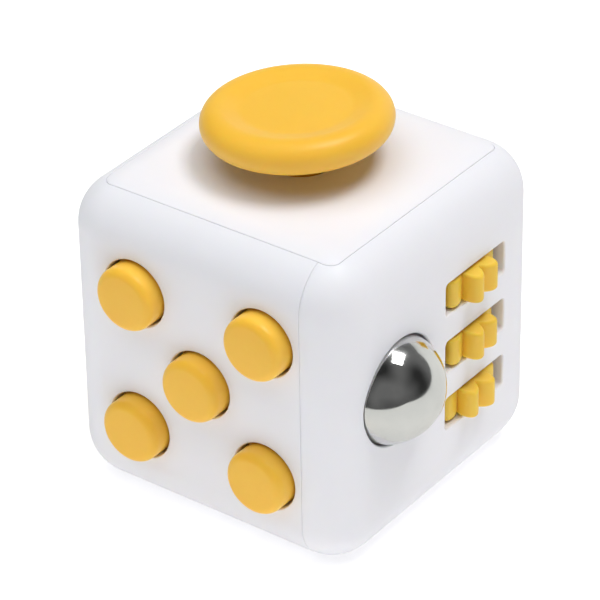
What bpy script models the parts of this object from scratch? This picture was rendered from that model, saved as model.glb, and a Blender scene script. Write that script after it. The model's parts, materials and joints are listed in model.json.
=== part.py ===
"""Fidget cube: a 33 mm hand toy with a different control on each of its six faces.

Front (-Y): five push buttons.  Right (+X): a steel ball and three thumb gears.
Top (+Z): a tilting joystick.  Left (-X): a spin dial.  Rear (+Y): a rocker switch.
Bottom (-Z): a shallow worry-stone dimple in the flat face that the cube stands on.

Lengths are in metres.  All parts hang under one empty at the cube's centre, so their
places are measured from that centre; the cube stands on z = 0.
"""
import math

import bmesh
import bpy
from mathutils import Matrix, Vector

MM = 0.001

# The housing: two L-shaped shells that trap a flanged top and bottom panel
CUBE = 33.0 * MM
HALF = CUBE / 2
EDGE_RADIUS = 5.0 * MM
WALL = 1.8 * MM
CAVITY = HALF - WALL
CAVITY_CORNER = EDGE_RADIUS - WALL
CAVITY_CHAMFER = 0.5 * MM
GAP = 0.15 * MM
PANEL_HALF = 13.4 * MM
PANEL_CORNER = 1.3 * MM
PANEL_SEAM = 0.15 * MM
PANEL_DEPTH = 3.0 * MM
FLANGE_HALF = 14.0 * MM
FLANGE_CORNER = 2.6 * MM
SEAM_X = 11.7 * MM
SEAM_GAP = 0.12 * MM
TONGUE_X = (9.9 * MM, 12.6 * MM)
TONGUE_HEEL_X = 11.3 * MM
TONGUE_Y = (13.4 * MM, 14.25 * MM)
TONGUE_HALF_Z = 2.8 * MM
OVERSIZE = 4.0 * MM
DIMPLE_RADIUS = 9.6 * MM
DIMPLE_DEPTH = 1.4 * MM

# Screws and the bosses that they bite into
SCREW_RADIUS = 0.7 * MM
SCREW_HEAD_RADIUS = 1.4 * MM
SCREW_HEAD = 0.8 * MM
SCREW_TIP_DEPTH = 1.35 * MM
PILOT_RADIUS = 0.85 * MM
PILOT_DEPTH = 1.1 * MM
BOSS_RADIUS = 1.5 * MM
BOSS_ROOT = 1.5 * MM

# Front face: five buttons on silicone domes, backed by a plate
BUTTON_SPACING = 7.4 * MM
BUTTON_RADIUS = 3.25 * MM
BUTTON_HOLE = 3.5 * MM
BUTTON_HEIGHT = 2.0 * MM
BUTTON_ROUND = 0.9 * MM
BUTTON_FLANGE = 4.1 * MM
FLANGE_THICK = 0.75 * MM
DOME_TOP = 1.5 * MM
DOME_FOOT = 3.0 * MM
DOME_SKIN = 0.45 * MM
DOME_HEIGHT = 1.75 * MM
BUTTON_PLATE_DEPTH = (4.75 * MM, 5.6 * MM)
BUTTON_PLATE_X = (-10.8 * MM, 10.6 * MM)
BUTTON_PLATE_HALF_Z = 11.2 * MM
BALL_NOTCH_X = 8.8 * MM
BALL_NOTCH_HALF_Z = 3.9 * MM
BUTTON_SCREWS = {"left": (-8.8 * MM, 0.0), "upper": (0.0, 9.3 * MM), "lower": (0.0, -9.3 * MM)}

# Right face: the steel ball, its sprung seat and the holder behind it
BALL_RADIUS = 5.5 * MM
BALL_CENTRE = Vector((15.1 * MM, -7.4 * MM, 0.8 * MM))
BALL_SOCKET = BALL_RADIUS + GAP
SEAT_RADIUS = 3.3 * MM
SEAT_BACK = 6.9 * MM
SEAT_STEM = 1.0 * MM
SEAT_STEM_END = 10.6 * MM
BALL_SPRING_DEPTH = (7.2 * MM, 9.8 * MM)
BALL_SPRING_RADIUS = 1.75 * MM
HOLDER_BACK_X = (4.0 * MM, 5.0 * MM)
HOLDER_HALF_Y = 2.0 * MM
HOLDER_ARM = (5.9 * MM, 7.0 * MM)
HOLDER_FOOT = 10.5 * MM
HOLDER_SCREW = 8.9 * MM
FOOT_DEPTH = (3.15 * MM, 4.2 * MM)

# Right face: three gears on one upright axle, carried by a comb-like bracket
AXLE_X = 13.75 * MM
AXLE_Y = 4.9 * MM
AXLE_RADIUS = 0.6 * MM
AXLE_HALF = 9.3 * MM
GEAR_TIP = 4.45 * MM
GEAR_ROOT = 3.0 * MM
GEAR_TEETH = 9
GEAR_THICK = 3.0 * MM
GEAR_POINTS_PER_TOOTH = 8
GEAR_HEIGHTS = {"upper": 6.6 * MM, "middle": 0.2 * MM, "lower": -6.2 * MM}
GEAR_PHASES = {"upper": math.radians(24), "middle": math.radians(26), "lower": math.radians(17)}
SLOT_Y = (0.1 * MM, 9.9 * MM)
SLOT_HEIGHT = 3.5 * MM
SLOT_CORNER = 0.4 * MM
BRACKET_X = (7.8 * MM, 8.9 * MM)
BRACKET_HALF_Y = 1.8 * MM
BRACKET_EAR_THICK = 1.15 * MM
BRACKET_FRONT_X = 14.5 * MM
BRACKET_FOOT = 12.6 * MM
BRACKET_SCREW = 11.1 * MM

# Top face: the joystick on a two-axis gimbal
JOYSTICK_HOLE = 3.2 * MM
PIVOT_Z = 13.0 * MM
JOYSTICK_LEAN = math.radians(3)
CAP_RADIUS = 9.2 * MM
CAP_MIDDLE = 20.75 * MM
CAP_HALF = 1.7 * MM
CAP_DISH_RADIUS = 6.1 * MM
CAP_CREST_RADIUS = 7.0 * MM
CAP_DISH_DEPTH = 0.4 * MM
CAP_FLAT_BELOW = 6.6 * MM
CAP_BORE_DEPTH = 1.4 * MM
STEM_RADIUS = 1.85 * MM
STEM_BASE_Z = 11.4 * MM
SPIGOT_RADIUS = 1.1 * MM
SPIGOT_BASE_Z = 10.4 * MM
GIMBAL_RADIUS = (2.5 * MM, 4.5 * MM)
GIMBAL_HALF = 0.8 * MM
TRUNNION_RADIUS = 0.6 * MM
TRUNNION_HOLE = 0.7 * MM
TRUNNION_END = 6.2 * MM
TRUNNION_ROOT = 0.6 * MM
CROSS_PIN_END = 4.3 * MM
SOCKET_RADIUS = (5.3 * MM, 6.7 * MM)
SOCKET_STEP_Z = (10.5 * MM, 11.2 * MM)
SOCKET_TUBE = (2.4 * MM, 3.2 * MM)
SOCKET_FLOOR_Z = (8.3 * MM, 8.9 * MM)
SOCKET_TOP_Z = 14.55 * MM
SOCKET_POCKET_RADIUS = 7.0 * MM
SOCKET_LUG_REACH = 10.0 * MM
SOCKET_LUG_HALF = 1.6 * MM
SOCKET_SCREW = 8.4 * MM
SOCKET_LUG_ANGLE = math.radians(135)
RETURN_SPRING_Z = (9.15 * MM, 11.05 * MM)
RETURN_SPRING_RADIUS = 1.7 * MM

# Rear face: the rocker switch, its pin, cradle and click spring
ROCKER_HALF_X = 4.2 * MM
ROCKER_HALF_Z = 7.6 * MM
ROCKER_PIVOT_Y = 13.6 * MM
ROCKER_END = 3.8 * MM
ROCKER_MIDDLE = 3.0 * MM
ROCKER_UNDERSIDE = 0.8 * MM
ROCKER_HUB = 1.8 * MM
ROCKER_NOSE = 2.3 * MM
ROCKER_TILT = math.radians(9)
ROCKER_OPENING = (4.45 * MM, 8.35 * MM)
ROCKER_OPENING_CORNER = 0.8 * MM
ROCKER_PIN_RADIUS = 0.8 * MM
ROCKER_PIN_HOLE = 0.95 * MM
ROCKER_PIN_END = 5.5 * MM
CRADLE_EAR_X = (4.4 * MM, 5.6 * MM)
CRADLE_EAR_TOP_Y = 14.5 * MM
CRADLE_HALF_Z = 3.0 * MM
CRADLE_FLOOR_Y = (9.7 * MM, 10.5 * MM)
CRADLE_SPINE_X = 2.2 * MM
CRADLE_POST_Z = (9.5 * MM, 12.0 * MM)
CRADLE_SCREW = 10.75 * MM
CLICK_SPRING_HALF_X = 1.4 * MM
CLICK_SPRING_HALF_Z = 2.8 * MM
CLICK_SPRING_THICK = 0.2 * MM
CLICK_SPRING_RISE = 0.25 * MM

# Left face: the spin dial, its carrier plate, screw and washer
DIAL_RADIUS = 9.1 * MM
DIAL_HOLE = 9.35 * MM
DIAL_PROUD = 0.5 * MM
DIAL_CHAMFER = 0.4 * MM
DIAL_FLANGE = 10.1 * MM
DIAL_HUB = 2.4 * MM
DIAL_HUB_END = 3.9 * MM
DIAL_BORE_END = 1.2 * MM
KNOB_RADIUS = 2.1 * MM
KNOB_ORBIT = 5.6 * MM
KNOB_HEIGHT = 4.1 * MM
KNOB_ROUND = 0.7 * MM
CARRIER_DEPTH = (4.05 * MM, 5.05 * MM)
CARRIER_HALF = 10.2 * MM
CARRIER_CORNER = 1.7 * MM
CARRIER_SCREW = 8.5 * MM
WASHER_RADIUS = 2.2 * MM
WASHER_THICK = 0.3 * MM

# Fineness
BEVEL_STEPS = 4
HOLE_SIDES = 24
SMALL_SIDES = 10
TURN_STEPS = 20
WIRE_RADIUS = 0.2 * MM
COIL_POINTS = 10
MERGE = 0.01 * MM

# Turns that point an object's +Z out of a face
FRONT = (math.pi / 2, 0.0, 0.0)
REAR = (-math.pi / 2, 0.0, 0.0)
RIGHT = (0.0, math.pi / 2, 0.0)
LEFT = (0.0, -math.pi / 2, 0.0)
UP = (0.0, 0.0, 0.0)
ALONG_X = RIGHT
ALONG_Y = REAR


def make_collection(name):
    """Make a collection in the scene."""
    made = bpy.data.collections.new(name)
    bpy.context.scene.collection.children.link(made)
    return made


def make_material(name, colour, roughness, metallic=0.0):
    """Make a Principled material."""
    made = bpy.data.materials.new(name)
    made.use_nodes = True
    shader = made.node_tree.nodes["Principled BSDF"]
    shader.inputs["Base Color"].default_value = (*colour, 1.0)
    shader.inputs["Roughness"].default_value = roughness
    shader.inputs["Metallic"].default_value = metallic
    made.diffuse_color = (*colour, 1.0)
    return made


for old in list(bpy.data.objects):
    bpy.data.objects.remove(old)
parts = make_collection("fidget_cube")
cutters = make_collection("fidget_cube_cutters")
centre = bpy.data.objects.new("cube_centre", None)
centre.location = (0.0, 0.0, HALF)
parts.objects.link(centre)

white = make_material("white_plastic", (0.86, 0.86, 0.87), 0.35)
orange = make_material("orange_plastic", (0.90, 0.46, 0.06), 0.35)
inner = make_material("inner_plastic", (0.62, 0.63, 0.65), 0.55)
chrome = make_material("polished_steel", (0.80, 0.80, 0.80), 0.06, 1.0)
steel = make_material("steel", (0.55, 0.56, 0.58), 0.30, 1.0)
silicone = make_material("silicone", (0.75, 0.76, 0.78), 0.60)


def add_object(name, data, material=None, place=(0.0, 0.0, 0.0), turn=UP):
    """Add an object under the cube's centre. One with no material is a cutter or a boss."""
    made = bpy.data.objects.new(name, data)
    made.parent = centre
    made.location = place
    made.rotation_euler = turn
    if material is None:
        cutters.objects.link(made)
        made.hide_render = True
        made.display_type = "WIRE"
    else:
        parts.objects.link(made)
        made.data.materials.append(material)
    return made


def mesh_from(name, shape):
    """Turn a bmesh into a mesh with smooth round sides and sharp edges."""
    mesh = bpy.data.meshes.new(name)
    shape.to_mesh(mesh)
    shape.free()
    mesh.shade_smooth()
    mesh.set_sharp_from_angle(angle=math.radians(35))
    return mesh


def box(name, low, high, material=None, corner=0.0, edge=0.0):
    """A box between two corners, its upright edges and then its level edges rounded."""
    low, high = Vector(low), Vector(high)
    shape = bmesh.new()
    place = Matrix.Translation((low + high) / 2) @ Matrix.Diagonal((*(high - low), 1.0))
    bmesh.ops.create_cube(shape, size=1.0, matrix=place)
    if corner:
        upright = [e for e in shape.edges if abs(e.verts[0].co.z - e.verts[1].co.z) > MERGE]
        bmesh.ops.bevel(shape, geom=upright, offset=corner, segments=BEVEL_STEPS,
                        profile=0.5, affect="EDGES")
    if edge:
        level = [e for e in shape.edges if abs(e.verts[0].co.z - e.verts[1].co.z) < MERGE]
        bmesh.ops.bevel(shape, geom=level, offset=edge, segments=1,
                        profile=0.5, affect="EDGES")
    return add_object(name, mesh_from(name, shape), material)


def rounded_cube(name, material=None):
    """The cube's outer form, with every edge and corner rounded."""
    shape = bmesh.new()
    bmesh.ops.create_cube(shape, size=CUBE)
    bmesh.ops.bevel(shape, geom=shape.edges[:], offset=EDGE_RADIUS, segments=BEVEL_STEPS,
                    profile=0.5, affect="EDGES")
    return add_object(name, mesh_from(name, shape), material)


def rod(name, radius, start, end, place, turn, material=None, sides=SMALL_SIDES, rounding=0.0):
    """A round bar from start to end along the turned Z axis, its far edge rounded if asked."""
    shape = bmesh.new()
    bmesh.ops.create_cone(shape, cap_ends=True, segments=sides, radius1=radius, radius2=radius,
                          depth=end - start, matrix=Matrix.Translation((0, 0, (start + end) / 2)))
    if rounding:
        rim = [e for e in shape.edges if min(v.co.z for v in e.verts) > end - MERGE]
        bmesh.ops.bevel(shape, geom=rim, offset=rounding, segments=2, profile=0.5, affect="EDGES")
    return add_object(name, mesh_from(name, shape), material, place, turn)


def turned(name, profile, place, turn, material=None, closed=False, steps=TURN_STEPS):
    """A turned piece: its profile's (radius, height) points swept about the Z axis."""
    mesh = bpy.data.meshes.new(name)
    edges = [(i, i + 1) for i in range(len(profile) - 1)]
    if closed:
        edges.append((len(profile) - 1, 0))
    mesh.from_pydata([(radius, 0.0, height) for radius, height in profile], edges, [])
    made = add_object(name, mesh, material, place, turn)
    sweep = made.modifiers.new("turn", "SCREW")
    sweep.angle = 2 * math.pi
    sweep.steps = steps
    sweep.render_steps = steps
    sweep.use_merge_vertices = True
    sweep.merge_threshold = MERGE
    sweep.use_smooth_shade = True
    return made


def extruded(name, outlines, half_thick, place, turn, material=None):
    """A flat plate with the given outlines, the first outside and any others holes in it."""
    curve = bpy.data.curves.new(name, "CURVE")
    curve.dimensions = "2D"
    curve.fill_mode = "BOTH"
    curve.extrude = half_thick
    for outline in outlines:
        spline = curve.splines.new("POLY")
        spline.points.add(len(outline) - 1)
        for point, (x, y) in zip(spline.points, outline):
            point.co = (x, y, 0.0, 1.0)
        spline.use_cyclic_u = True
    guide = bpy.data.objects.new(name + "_outline", curve)
    parts.objects.link(guide)
    bpy.context.view_layer.update()
    mesh = bpy.data.meshes.new_from_object(guide.evaluated_get(bpy.context.evaluated_depsgraph_get()))
    bpy.data.objects.remove(guide)
    shape = bmesh.new()
    shape.from_mesh(mesh)
    bmesh.ops.remove_doubles(shape, verts=shape.verts[:], dist=MERGE)
    bmesh.ops.recalc_face_normals(shape, faces=shape.faces[:])
    return add_object(name, mesh_from(name, shape), material, place, turn)


def coil_spring(name, radius, start, end, turns, place, turn):
    """A coil of round wire about the turned Z axis, from start to end."""
    curve = bpy.data.curves.new(name, "CURVE")
    curve.dimensions = "3D"
    curve.bevel_depth = WIRE_RADIUS
    curve.bevel_resolution = 2
    curve.use_fill_caps = True
    count = int(turns * COIL_POINTS)
    spline = curve.splines.new("POLY")
    spline.points.add(count)
    for i, point in enumerate(spline.points):
        angle = 2 * math.pi * i / COIL_POINTS
        height = start + (end - start) * i / count
        point.co = (radius * math.cos(angle), radius * math.sin(angle), height, 1.0)
    return add_object(name, curve, steel, place, turn)


def boolean(piece, tool, operation="DIFFERENCE"):
    """Cut a tool from a piece, or join or intersect them."""
    step = piece.modifiers.new(tool.name, "BOOLEAN")
    step.operation = operation
    step.solver = "EXACT"
    step.object = tool


def arc(radius, start, end, count, centre_at=(0.0, 0.0)):
    """Points along an arc from one angle to another."""
    angles = [start + (end - start) * i / count for i in range(count + 1)]
    return [(centre_at[0] + radius * math.cos(a), centre_at[1] + radius * math.sin(a)) for a in angles]


def circle(radius, count):
    """Points round a full circle."""
    return arc(radius, 0.0, 2 * math.pi, count)[:-1]


def fasten(shell, plate, name, spot, turn, depth, boss=True):
    """A screw through a plate into a boss on a shell.

    spot lies on the cube's outer face, and depth holds how far below that face the plate's
    outer and inner sides lie.
    """
    outer, lower = depth
    if boss:
        post = rod(name + "_boss", BOSS_RADIUS, -(outer - GAP), -BOSS_ROOT, spot, turn)
        boolean(shell, post, "UNION")
    pilot = rod(name + "_pilot", PILOT_RADIUS, -lower - GAP, -PILOT_DEPTH, spot, turn)
    boolean(shell, pilot)
    boolean(plate, pilot)
    head = -(lower + GAP)
    profile = [
        (0.0, -SCREW_TIP_DEPTH),
        (SCREW_RADIUS, -SCREW_TIP_DEPTH),
        (SCREW_RADIUS, head),
        (SCREW_HEAD_RADIUS, head),
        (SCREW_HEAD_RADIUS, head - SCREW_HEAD / 2),
        (SCREW_HEAD_RADIUS * 0.7, head - SCREW_HEAD),
        (0.0, head - SCREW_HEAD),
    ]
    turned(name, profile, spot, turn, steel, steps=SMALL_SIDES)


def make_shell(name, half_turn):
    """One L-shaped side shell; the other is the same shell turned half round the Z axis."""
    shell = rounded_cube(name, white)
    reach = HALF + OVERSIZE
    seam = SEAM_X - SEAM_GAP / 2
    outline = [
        (-reach, -reach), (seam, -reach), (seam, 0.0),
        (-SEAM_X - SEAM_GAP / 2, 0.0), (-SEAM_X - SEAM_GAP / 2, reach), (-reach, reach),
    ]
    turn = (0.0, 0.0, half_turn)
    region = extruded(name + "_region", [outline], reach, (0.0, 0.0, 0.0), turn)
    boolean(shell, region, "INTERSECT")
    cavity = box(name + "_cavity", (-CAVITY,) * 3, (CAVITY,) * 3,
                 corner=CAVITY_CORNER, edge=CAVITY_CHAMFER)
    boolean(shell, cavity)
    opening = PANEL_HALF + PANEL_SEAM
    window = box(name + "_window", (-opening, -opening, -reach), (opening, opening, reach),
                 corner=PANEL_CORNER + PANEL_SEAM)
    boolean(shell, window)
    heel = box(name + "_tongue_heel", (TONGUE_X[0], -CAVITY - GAP, -TONGUE_HALF_Z),
               (TONGUE_HEEL_X, -TONGUE_Y[0] - GAP, TONGUE_HALF_Z))
    tongue = box(name + "_tongue", (TONGUE_X[0], -TONGUE_Y[1], -TONGUE_HALF_Z),
                 (TONGUE_X[1], -TONGUE_Y[0], TONGUE_HALF_Z))
    for piece in (heel, tongue):
        piece.rotation_euler = turn
        boolean(shell, piece, "UNION")
    return shell


def make_panel(name, facing_up):
    """A square panel whose flange is trapped under the shells' rims."""
    side = 1.0 if facing_up else -1.0
    levels = sorted((side * (CAVITY - GAP), side * (HALF + OVERSIZE)))
    panel = box(name, (-PANEL_HALF, -PANEL_HALF, levels[0]), (PANEL_HALF, PANEL_HALF, levels[1]),
                white, corner=PANEL_CORNER)
    boolean(panel, rounded_cube(name + "_form"), "INTERSECT")
    levels = sorted((side * (CAVITY - GAP), side * (HALF - PANEL_DEPTH)))
    levels = (levels[0], levels[1] + MERGE) if facing_up else (levels[0] - MERGE, levels[1])
    flange = box(name + "_flange", (-FLANGE_HALF, -FLANGE_HALF, levels[0]),
                 (FLANGE_HALF, FLANGE_HALF, levels[1]), corner=FLANGE_CORNER)
    boolean(panel, flange, "UNION")
    return panel


def make_button(name, x, z, shell):
    """A round button with a flange behind the face, and the silicone dome under it."""
    place = (x, -HALF, z)
    flange_top = -(WALL + GAP)
    flange_foot = flange_top - FLANGE_THICK
    shoulder = arc(BUTTON_ROUND, math.pi / 2, 0.0, 3,
                   (BUTTON_RADIUS - BUTTON_ROUND, BUTTON_HEIGHT - BUTTON_ROUND))
    profile = [(0.0, BUTTON_HEIGHT)] + shoulder + [
        (BUTTON_RADIUS, flange_top), (BUTTON_FLANGE, flange_top),
        (BUTTON_FLANGE, flange_foot), (0.0, flange_foot),
    ]
    turned("button_" + name, profile, place, FRONT, orange)
    top = flange_foot - GAP
    foot = top - DOME_HEIGHT
    profile = [
        (0.0, top), (DOME_TOP, top), (DOME_FOOT - DOME_SKIN, foot + DOME_SKIN),
        (DOME_FOOT, foot + DOME_SKIN), (DOME_FOOT, foot), (DOME_FOOT - 2 * DOME_SKIN, foot),
        (DOME_TOP - DOME_SKIN / 2, top - DOME_SKIN), (0.0, top - DOME_SKIN),
    ]
    turned("dome_" + name, profile, place, FRONT, silicone, steps=SMALL_SIDES)
    boolean(shell, rod("button_hole_" + name, BUTTON_HOLE, -2 * WALL, WALL, place, FRONT,
                       sides=HOLE_SIDES))


def make_buttons(shell):
    """The front face: five buttons in a quincunx and the plate that backs their domes."""
    places = {
        "centre": (0, 0), "upper_left": (-1, 1), "upper_right": (1, 1),
        "lower_left": (-1, -1), "lower_right": (1, -1),
    }
    for name, (column, row) in places.items():
        make_button(name, column * BUTTON_SPACING, row * BUTTON_SPACING, shell)
    near, far = BUTTON_PLATE_DEPTH
    plate = box("button_plate", (BUTTON_PLATE_X[0], near - HALF, -BUTTON_PLATE_HALF_Z),
                (BUTTON_PLATE_X[1], far - HALF, BUTTON_PLATE_HALF_Z), inner)
    notch = box("ball_notch", (BALL_NOTCH_X, -HALF, BALL_CENTRE.z - BALL_NOTCH_HALF_Z),
                (HALF, 0.0, BALL_CENTRE.z + BALL_NOTCH_HALF_Z))
    boolean(plate, notch)
    for name, (x, z) in BUTTON_SCREWS.items():
        fasten(shell, plate, "button_screw_" + name, (x, -HALF, z), FRONT, BUTTON_PLATE_DEPTH)


def make_ball(shell):
    """The steel ball, the sprung seat behind it and the holder that guides the seat."""
    shape = bmesh.new()
    bmesh.ops.create_uvsphere(shape, u_segments=HOLE_SIDES, v_segments=HOLE_SIDES // 2,
                              radius=BALL_RADIUS)
    add_object("steel_ball", mesh_from("steel_ball", shape), chrome, BALL_CENTRE)
    profile = [(0.0, BALL_SOCKET)] + arc(BALL_SOCKET, math.pi / 2, 0.0, 8)[1:] + [
        (BALL_SOCKET, -2 * WALL), (0.0, -2 * WALL),
    ]
    boolean(shell, turned("ball_socket", profile, BALL_CENTRE, RIGHT, steps=HOLE_SIDES))
    rim = math.acos(SEAT_RADIUS / BALL_SOCKET)
    dish = arc(BALL_SOCKET, -math.pi / 2, -rim, 4)
    profile = [(0.0, -BALL_SOCKET)] + dish[1:] + [
        (SEAT_RADIUS, -SEAT_BACK), (SEAT_STEM, -SEAT_BACK),
        (SEAT_STEM, -SEAT_STEM_END), (0.0, -SEAT_STEM_END),
    ]
    turned("ball_seat", profile, BALL_CENTRE, RIGHT, inner, steps=TURN_STEPS)
    coil_spring("ball_spring", BALL_SPRING_RADIUS, -BALL_SPRING_DEPTH[0], -BALL_SPRING_DEPTH[1],
                3, BALL_CENTRE, RIGHT)

    y, z = BALL_CENTRE.y, BALL_CENTRE.z
    foot_x = (HALF - FOOT_DEPTH[1], HALF - FOOT_DEPTH[0])
    holder = box("ball_holder", (HOLDER_BACK_X[0], y - HOLDER_HALF_Y, z - HOLDER_ARM[1]),
                 (HOLDER_BACK_X[1], y + HOLDER_HALF_Y, z + HOLDER_ARM[1]), inner)
    for side, label in ((1, "upper"), (-1, "lower")):
        levels = sorted((z + side * HOLDER_ARM[0], z + side * HOLDER_ARM[1]))
        arm = box("ball_holder_arm_" + label, (HOLDER_BACK_X[0], y - HOLDER_HALF_Y, levels[0]),
                  (foot_x[1], y + HOLDER_HALF_Y, levels[1]))
        levels = sorted((z + side * HOLDER_ARM[0], z + side * HOLDER_FOOT))
        foot = box("ball_holder_foot_" + label, (foot_x[0], y - HOLDER_HALF_Y, levels[0]),
                   (foot_x[1], y + HOLDER_HALF_Y, levels[1]))
        boolean(holder, arm, "UNION")
        boolean(holder, foot, "UNION")
        fasten(shell, holder, "ball_screw_" + label, (HALF, y, z + side * HOLDER_SCREW), RIGHT,
               FOOT_DEPTH)
    boolean(holder, rod("ball_stem_hole", SEAT_STEM + GAP, -2 * SEAT_STEM_END, -SEAT_BACK,
                        BALL_CENTRE, RIGHT, sides=HOLE_SIDES))


def gear_outline(phase):
    """A closed outline with broad rounded teeth and narrow valleys, its first tooth at phase."""
    count = GEAR_TEETH * GEAR_POINTS_PER_TOOTH
    points = []
    for i in range(count):
        angle = 2 * math.pi * i / count
        lobe = abs(math.cos(GEAR_TEETH * angle / 2))
        radius = GEAR_ROOT + (GEAR_TIP - GEAR_ROOT) * lobe
        points.append((radius * math.cos(angle + phase), radius * math.sin(angle + phase)))
    return points


def make_gears(shell):
    """Three thumb gears on one axle, each between two teeth of a comb-like bracket."""
    bore = AXLE_RADIUS + GAP
    axle = (AXLE_X, AXLE_Y, 0.0)
    for name, height in GEAR_HEIGHTS.items():
        outlines = [gear_outline(GEAR_PHASES[name]), circle(bore, SMALL_SIDES)]
        extruded("gear_" + name, outlines, GEAR_THICK / 2, (AXLE_X, AXLE_Y, height), UP, orange)
        slot = box("gear_slot_" + name, (-SLOT_HEIGHT / 2, SLOT_Y[0], -2 * WALL),
                   (SLOT_HEIGHT / 2, SLOT_Y[1], WALL), corner=SLOT_CORNER)
        slot.location = (HALF, 0.0, height)
        slot.rotation_euler = RIGHT
        boolean(shell, slot)
    rod("gear_axle", AXLE_RADIUS, -AXLE_HALF, AXLE_HALF, axle, UP, steel)

    near, far = AXLE_Y - BRACKET_HALF_Y, AXLE_Y + BRACKET_HALF_Y
    foot_x = (HALF - FOOT_DEPTH[1], HALF - FOOT_DEPTH[0])
    heights = sorted(GEAR_HEIGHTS.values())
    reach = GEAR_THICK / 2 + GAP
    ears = {
        "lower": (heights[0] - reach - BRACKET_EAR_THICK, heights[0] - reach),
        "lower_middle": (heights[0] + reach, heights[1] - reach),
        "upper_middle": (heights[1] + reach, heights[2] - reach),
        "upper": (heights[2] + reach, heights[2] + reach + BRACKET_EAR_THICK),
    }
    bracket = box("gear_bracket", (BRACKET_X[0], near, ears["lower"][0]),
                  (BRACKET_X[1], far, ears["upper"][1]), inner)
    for name, (low, high) in ears.items():
        ear = box("gear_bracket_ear_" + name, (BRACKET_X[0], near, low), (BRACKET_FRONT_X, far, high))
        boolean(bracket, ear, "UNION")
    for side, label in ((1, "upper"), (-1, "lower")):
        levels = sorted((ears[label][0 if side > 0 else 1], side * BRACKET_FOOT))
        foot = box("gear_bracket_foot_" + label, (foot_x[0], near, levels[0]),
                   (foot_x[1], far, levels[1]))
        boolean(bracket, foot, "UNION")
        fasten(shell, bracket, "gear_screw_" + label, (HALF, AXLE_Y, side * BRACKET_SCREW), RIGHT,
               FOOT_DEPTH)
    boolean(bracket, rod("gear_axle_seat", bore, -AXLE_HALF - GAP, AXLE_HALF + GAP, axle, UP))
    boolean(bracket, box("gear_axle_mouth", (AXLE_X, AXLE_Y - AXLE_RADIUS, -AXLE_HALF - GAP),
                         (HALF, AXLE_Y + AXLE_RADIUS, AXLE_HALF + GAP)))


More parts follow.
